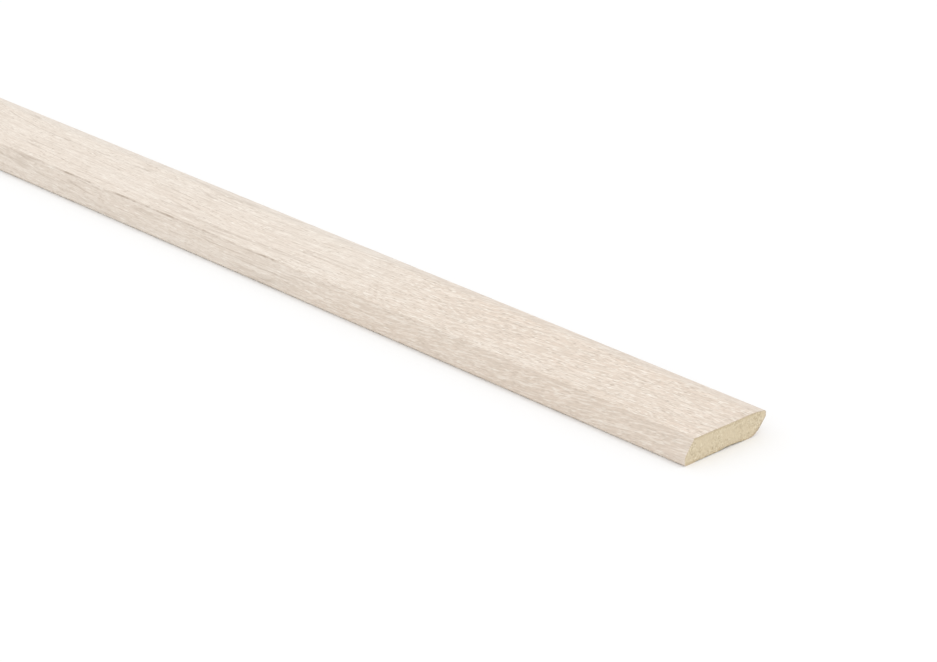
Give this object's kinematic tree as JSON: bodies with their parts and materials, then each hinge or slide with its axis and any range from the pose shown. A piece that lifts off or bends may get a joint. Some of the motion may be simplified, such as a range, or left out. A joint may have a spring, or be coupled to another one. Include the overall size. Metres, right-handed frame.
{
  "type": "skirting board",
  "caption": "Slim stick-on skirting strip of MDF wrapped in bleached-oak decor film, with a bevelled top edge, an undercut floor edge and a shallow hollow in its back.",
  "frame": {"origin": "middle of the back, on the plane that the strip lies on with its face up", "axes": "+X along the strip, +Y across the face from the bevelled top edge to the floor edge, +Z out of the front face"},
  "size_m": [2.4, 0.022, 0.005],
  "materials": {
    "mdf": "sawn, matt",
    "oak_decor_film": "satin, bleached-oak print"
  },
  "bodies": {
    "root": {"mdf_core": "mdf", "decor_film": "oak_decor_film"}
  },
  "joints": []
}
